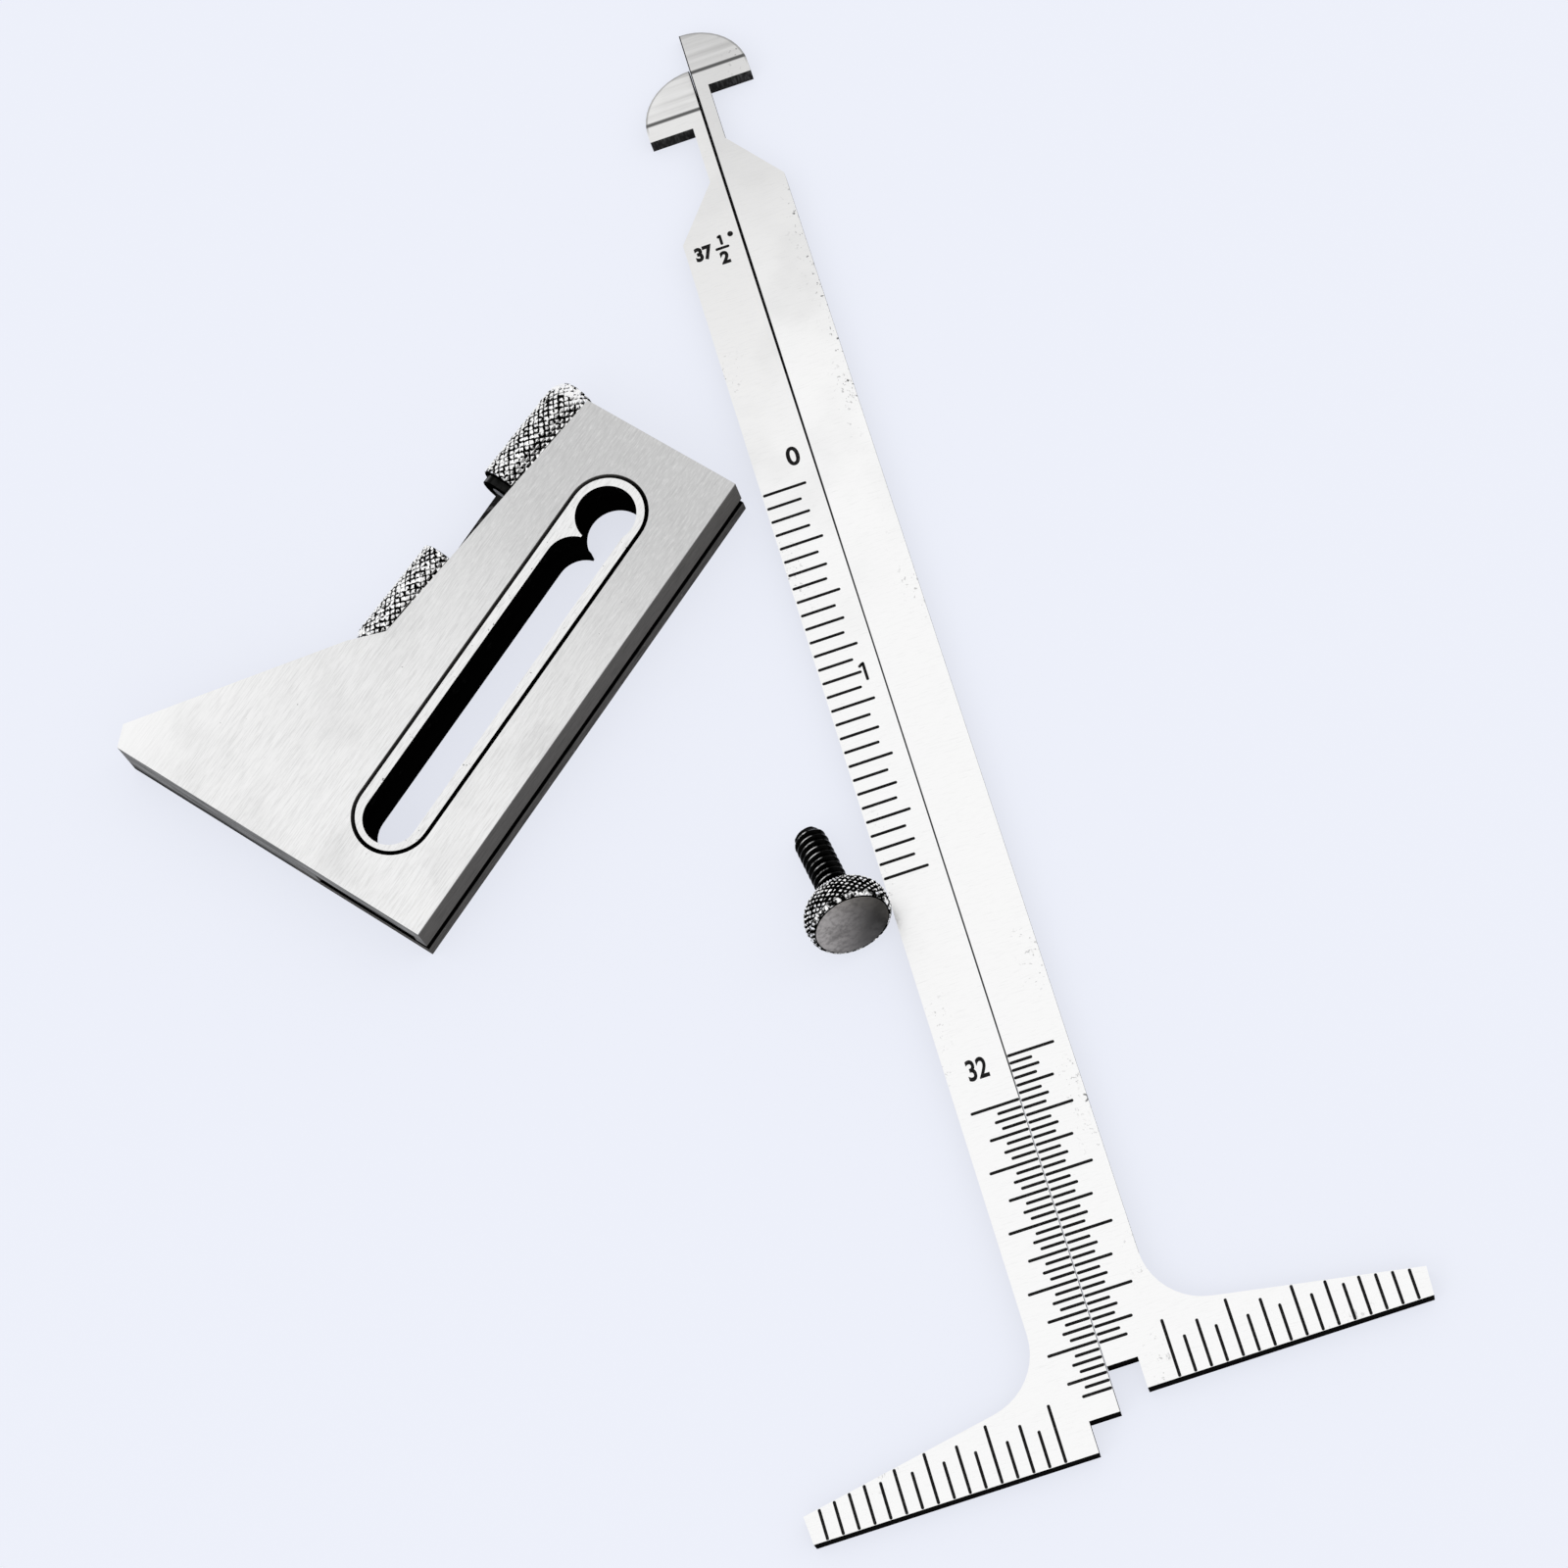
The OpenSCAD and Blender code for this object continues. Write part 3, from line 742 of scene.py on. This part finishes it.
def mark_ends(barrel, radius):
    """Paints black shade on the flat end and the bore, and half a highlight on the crown."""
    bpy.ops.object.mode_set(mode="OBJECT")
    heights = barrel.data.attributes[POINT_HEIGHT].data
    for vertex, stored in zip(barrel.data.vertices, heights):
        if math.hypot(vertex.co.x, vertex.co.y) < (radius - 0.1) * MM:
            if vertex.co.z < 0.7 * ROLLER_LENGTH * MM:
                stored.value = BLACK_SHADE_HEIGHT
            elif stored.value == 0:
                stored.value = HALF_HIGHLIGHT_HEIGHT


def thumb_head():
    """Knurled head with rounded shoulders, a band with a painted highlight, a groove and a low
    crowned face.
    """
    start, end = HEAD_KNURL_SPAN
    step = (end - start) / (len(HEAD_RADII) - 1)
    stations = [(THREAD_LENGTH + start + step * i, radius) for i, radius in enumerate(HEAD_RADII)]
    barrel = knurled_barrel(HEAD_POINTS, stations, HEAD_KNURL)
    low, high = ((height, radius - HEAD_KNURL) for height, radius in (stations[0], stations[-1]))
    lathe_loop(barrel, low, [(THREAD_LENGTH, low[1] - 0.25), (THREAD_LENGTH, 1.4)])
    bpy.ops.mesh.edge_face_add()
    top = THREAD_LENGTH + HEAD_THICKNESS
    band = [
        (high[0] + 0.06, 4.3), (top - 0.3, 4.22), (top - 0.16, 4.12), (top - 0.1, 4.02),
        (top - 0.13, 3.96), (top - 0.3, GROOVE_OUTER), (top - 0.3, GROOVE_INNER),
        (top - 0.08, 3.83), (top - 0.03, 3.6), (top, 2.2), (top, 0.8),
    ]
    lathe_loop(barrel, high, band)
    bpy.ops.mesh.edge_face_add()
    choose(barrel, "VERT", lambda vertex: True)
    bpy.ops.mesh.normals_make_consistent(inside=False)
    bpy.ops.object.mode_set(mode="OBJECT")
    # painted highlight on the band between the knurl and the groove, through its stored height
    heights = barrel.data.attributes[POINT_HEIGHT].data
    for vertex, stored in zip(barrel.data.vertices, heights):
        in_band = high[0] + 0.05 < vertex.co.z / MM < top - 0.02
        if in_band and math.hypot(vertex.co.x, vertex.co.y) > (GROOVE_OUTER + 0.01) * MM:
            stored.value = BAND_HIGHLIGHT_HEIGHT
    face = head_steel()
    finish = knurl_steel("knurled_head_steel", SCREW_FRAME, 0.44, 0.74, 1.7)
    settle(barrel, "thumb_head", SCREW_FRAME, finish, 20)
    barrel.data.materials.append(face)
    axis = SCREW_FRAME.to_3x3() @ Vector((0, 0, 1))
    for polygon in barrel.data.polygons:
        reach = polygon.center - SCREW_FRAME.translation
        along = reach.dot(axis) / MM
        out = (reach - axis * along * MM).length / MM
        outer_face = along > top - 0.4 and polygon.normal.dot(axis) > 0.2
        if out < GROOVE_INNER - 0.02 and (outer_face or along < THREAD_LENGTH + 0.01):
            polygon.material_index = 1
    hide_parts("screw_head")
    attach(barrel, "lock_screw")


def screw_thread():
    """Helical V thread wound by a screw modifier, around a core with a rounded tip."""
    minor = THREAD_RADIUS - THREAD_DEPTH
    clear_selection()
    bpy.ops.mesh.primitive_grid_add(x_subdivisions=1, y_subdivisions=4, size=2 * MM)
    ridge = bpy.context.object
    choose(ridge, "VERT", lambda vertex: vertex.co.x > 0)
    bpy.ops.mesh.delete(type="VERT")
    bpy.ops.object.mode_set(mode="OBJECT")
    outline = [
        (minor, 0.0), (THREAD_RADIUS, 0.42 * THREAD_PITCH),
        (THREAD_RADIUS, 0.58 * THREAD_PITCH), (minor, 0.96 * THREAD_PITCH),
        (minor, THREAD_PITCH),
    ]
    row = sorted(ridge.data.vertices, key=lambda vertex: vertex.co.y)
    for vertex, (radius, height) in zip(row, outline):
        vertex.co = (radius * MM, 0, height * MM)
    winding = ridge.modifiers.new("winding", "SCREW")
    winding.axis = "Z"
    winding.screw_offset = THREAD_PITCH * MM
    winding.angle = math.radians(360)
    winding.steps = THREAD_STEPS
    winding.render_steps = THREAD_STEPS
    winding.iterations = THREAD_TURNS
    winding.use_merge_vertices = True
    winding.merge_threshold = 1e-3 * MM
    bpy.ops.object.modifier_apply(modifier="winding")
    choose(ridge, "VERT", lambda vertex: True)
    bpy.ops.mesh.remove_doubles(threshold=1e-3 * MM)
    # rounds the thread off towards the tip, slab by slab
    for slab in range(TIP_SLABS):
        low = slab * TIP_SLAB
        rise = max(THREAD_RADIUS - low - TIP_SLAB / 2, 0)
        size = math.sqrt(max(THREAD_RADIUS**2 - rise**2, 0.05)) / THREAD_RADIUS
        choose(ridge, "VERT", lambda vertex: low <= vertex.co.z / MM < low + TIP_SLAB)
        bpy.ops.transform.resize(value=(size, size, 1), center_override=(0, 0, 0))
    bpy.ops.object.mode_set(mode="OBJECT")
    clear_selection()
    core_length = (THREAD_LENGTH + 0.1) * MM
    bpy.ops.mesh.primitive_cylinder_add(
        vertices=THREAD_STEPS,
        radius=(minor + 0.02) * MM,
        depth=core_length,
        location=(0, 0, core_length / 2),
    )
    core = bpy.context.object
    bpy.ops.object.transform_apply(location=True, rotation=True, scale=True)
    choose(core, "EDGE", end_edges(core, 0))
    bpy.ops.mesh.bevel(offset=1.1 * MM, segments=6)
    bpy.ops.object.mode_set(mode="OBJECT")
    clear_selection()
    core.select_set(True)
    ridge.select_set(True)
    bpy.context.view_layer.objects.active = ridge
    bpy.ops.object.join()
    choose(ridge, "VERT", lambda vertex: True)
    bpy.ops.mesh.normals_make_consistent(inside=False)
    settle(ridge, "stud_thread", SCREW_FRAME, thread_steel(), 40)
    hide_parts("screw_stud")
    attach(ridge, "lock_screw")


# ---------------------------------------------------------------- engraved scales


def engraved_line(length):
    """One filled line of a scale along X from 0, with rounded ends."""
    clear_selection()
    bpy.ops.mesh.primitive_cube_add(size=MM, location=(0, 0, 0))
    line = bpy.context.object
    line.scale = (length, LINE_WIDTH, 2 * FILL_HEIGHT)
    line.location = (length / 2 * MM, 0, BLADE_TOP * MM)
    bpy.ops.object.transform_apply(location=True, rotation=True, scale=True)
    ends = {edge.index for edge in line.data.edges if is_upright(line, edge)}
    choose(line, "EDGE", lambda edge: edge.index in ends)
    bpy.ops.mesh.bevel(offset=LINE_WIDTH * 0.42 * MM, segments=2)
    bpy.ops.object.mode_set(mode="OBJECT")
    return line


def engrave(name, side, places):
    """Copies lines to their places on a half-blade and joins them.

    Places are (x, y, angle, length), in millimetres and degrees.
    """
    patterns = {}
    copies = []
    home = BLADE_FRAMES[side]
    for x, y, angle, length in places:
        key = round(length, 3)
        if key not in patterns:
            patterns[key] = engraved_line(length)
        copy = patterns[key].copy()
        copy.data = patterns[key].data.copy()
        bpy.context.collection.objects.link(copy)
        copy.data.transform(home @ moved(x, y, 0) @ turned(math.radians(angle), "Z"))
        copies.append(copy)
    for pattern in patterns.values():
        bpy.data.objects.remove(pattern)
    clear_selection()
    for copy in copies:
        copy.select_set(True)
    bpy.context.view_layer.objects.active = copies[0]
    bpy.ops.object.join()
    scale = settle(bpy.context.object, name, Matrix.Identity(4), FILLING)
    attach(scale, side + "_half")


def by_division(count, lengths):
    """The length for the largest division that the count marks."""
    return next(length for division, length in lengths.items() if count % division == 0)


def fine_scale(side):
    """Thirty-seconds of an inch from the joint line outwards."""
    start, angle, shorter = (-0.07, 180, 0) if side == "left" else (0.07, 0, 0.15)
    places = [
        (start, -count * INCH / 32, angle, by_division(count, FINE_LENGTHS) - shorter)
        for count in range(FINE_LINES)
    ]
    engrave("fine_scale_" + side, side, places)


def edge_scale():
    """Sixteenths of an inch down the left half-blade, from its outer edge inwards."""
    width = BLADE_WIDTH - 0.05
    places = [
        (-width, EDGE_START - count * INCH / 16, 0, width - by_division(count, EDGE_GAPS))
        for count in range(EDGE_LINES)
    ]
    engrave("edge_scale", "left", places)


def foot_scale(side):
    """Sixteenths of an inch along the foot, ended by its sloping upper edge."""
    sign = -1 if side == "left" else 1
    places = []
    for count in range(FOOT_LINES):
        out = FOOT_START + count * INCH / 16
        room = FOOT_TIP + (FOOT_REACH - out) * math.tan(FOOT_SLOPE) - 0.06
        length = min(by_division(count, FOOT_LENGTHS), room)
        places.append((sign * out, FOOT_BOTTOM + 0.03, 90, length))
    engrave("foot_scale_" + side, side, places)


def figure(text, low, high, weight=0.07):
    """Figures filling the box from low to high on the left half-blade, in millimetres."""
    clear_selection()
    bpy.ops.object.text_add()
    figure_text = bpy.context.object
    figure_text.data.body = text
    figure_text.data.size = 3 * MM
    figure_text.data.extrude = FILL_HEIGHT * MM
    figure_text.data.offset = weight * MM
    bpy.ops.object.convert(target="MESH")
    corners = [v.co.copy() for v in figure_text.data.vertices]
    left, right = min(c.x for c in corners), max(c.x for c in corners)
    bottom, top = min(c.y for c in corners), max(c.y for c in corners)
    wide = (high[0] - low[0]) * MM / (right - left)
    tall = (high[1] - low[1]) * MM / (top - bottom)
    fit = moved(low[0], low[1], BLADE_TOP) @ Matrix.Diagonal((wide, tall, 1, 1))
    figure_text.data.transform(fit @ Matrix.Translation((-left, -bottom, 0)))
    return figure_text


def figure_one(x, low, height):
    """The figure 1 as a stem and a short flag."""
    stem = engraved_line(height)
    stem.data.transform(moved(x, low, 0) @ turned(math.radians(90), "Z"))
    flag = engraved_line(height * 0.3)
    flag.data.transform(moved(x, low + height - 0.12, 0) @ turned(math.radians(212), "Z"))
    return [stem, flag]


def degree_dot(x, y, radius):
    """The round degree sign, with an inner ring."""
    clear_selection()
    bpy.ops.mesh.primitive_cylinder_add(
        vertices=20,
        radius=radius * MM,
        depth=2 * FILL_HEIGHT * MM,
        location=(x * MM, y * MM, BLADE_TOP * MM),
    )
    dot = bpy.context.object
    bpy.ops.object.transform_apply(location=True, rotation=True, scale=True)
    choose(dot, "FACE", lambda face: face.normal.z > 0.9)
    bpy.ops.mesh.inset(thickness=0.08 * MM)
    bpy.ops.object.mode_set(mode="OBJECT")
    return dot


def figures():
    """Plain numbers of the scales and of the bevel angle."""
    made = [
        figure("0", (-2.7, 72.9), (-1.3, 75.1)),
        figure("32", (-4.15, 3.15), (-2.05, 5.4)),
        figure("37", (-5.4, 99.1), (-3.45, 100.85), 0.16),
        figure("2", (-2.9, 97.95), (-1.9, 99.5), 0.16),
        degree_dot(-1.15, 101.2, 0.31),
    ]
    made += figure_one(-1.65, 47.3, 2.1)
    made += figure_one(-2.3, 100.25, 1.25)
    bar = engraved_line(1.55)
    bar.data.transform(moved(-3.15, 99.9, 0))
    clear_selection()
    for part in made + [bar]:
        part.select_set(True)
    bpy.context.view_layer.objects.active = made[0]
    bpy.ops.object.join()
    numbers = settle(bpy.context.object, "blade_numbers", BLADE_FRAMES["left"], FILLING)
    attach(numbers, "left_half")


def soft_lamp(name, place, size, power):
    """Square lamp in metres and watts, aimed at the middle of the scene."""
    clear_selection()
    bpy.ops.object.light_add(type="AREA", location=place)
    lamp = bpy.context.object
    lamp.name = name
    lamp.data.shape = "SQUARE"
    lamp.data.size = size
    lamp.data.energy = power
    lamp.rotation_euler = (-Vector(place)).to_track_quat("-Z", "Y").to_euler()


# ---------------------------------------------------------------- the gauge

FILLING = scale_filling()
BLACKENED = blackened_steel()
FINISHES = {
    "left_blade": blade_steel("left"),
    "right_blade": blade_steel("right"),
    "gauge_block": block_steel(),
    "back_cover": cover_steel(),
    "window_frame": frame_steel(),
    "cover_screws": BLACKENED,
    "screw_bush": BLACKENED,
    "upper_axle": BLACKENED,
    "lower_axle": BLACKENED,
    "friction_plugs": nylon(),
}
for node, material in FINISHES.items():
    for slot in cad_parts[node].material_slots:
        slot.material = material

for side in ("left", "right"):
    fine_scale(side)
    foot_scale(side)
edge_scale()
figures()
roller("upper_roller", UPPER_ROLLER, "roller_a", "domed")
roller("lower_roller", LOWER_ROLLER, "roller_b", "flat")
screw_thread()
thumb_head()

# ---------------------------------------------------------------- surface, light and camera

PALE = (0.847, 0.871, 0.956)

clear_selection()
bpy.ops.mesh.primitive_plane_add(size=4.0, location=(0, 0, -0.00002))
floor = bpy.context.object
floor.name = "pale_floor"
bpy.ops.object.transform_apply(location=True, rotation=True, scale=True)
floor.data.materials.append(bench(PALE))

world = bpy.data.worlds.new("soft_studio")
world.use_nodes = True
background = world.node_tree.nodes["Background"]
background.inputs["Color"].default_value = (1, 1, 1, 1)
background.inputs["Strength"].default_value = 0.93
bpy.context.scene.world = world

soft_lamp("soft_key", (-0.6, -0.35, 0.6), 0.35, 0.7)
soft_lamp("soft_fill", (0.65, 0.1, 0.5), 0.4, 0.4)

clear_selection()
bpy.ops.object.camera_add(
    location=(0.033658, -0.181577, 0.428854),
    rotation=(math.radians(20.521654), math.radians(9.517649), math.radians(-16.089073)),
)
camera = bpy.context.object
camera.data.lens = 105.0
camera.data.sensor_width = 36.0
camera.data.clip_start = 0.01
bpy.context.scene.camera = camera
bpy.context.scene.view_settings.view_transform = "Standard"
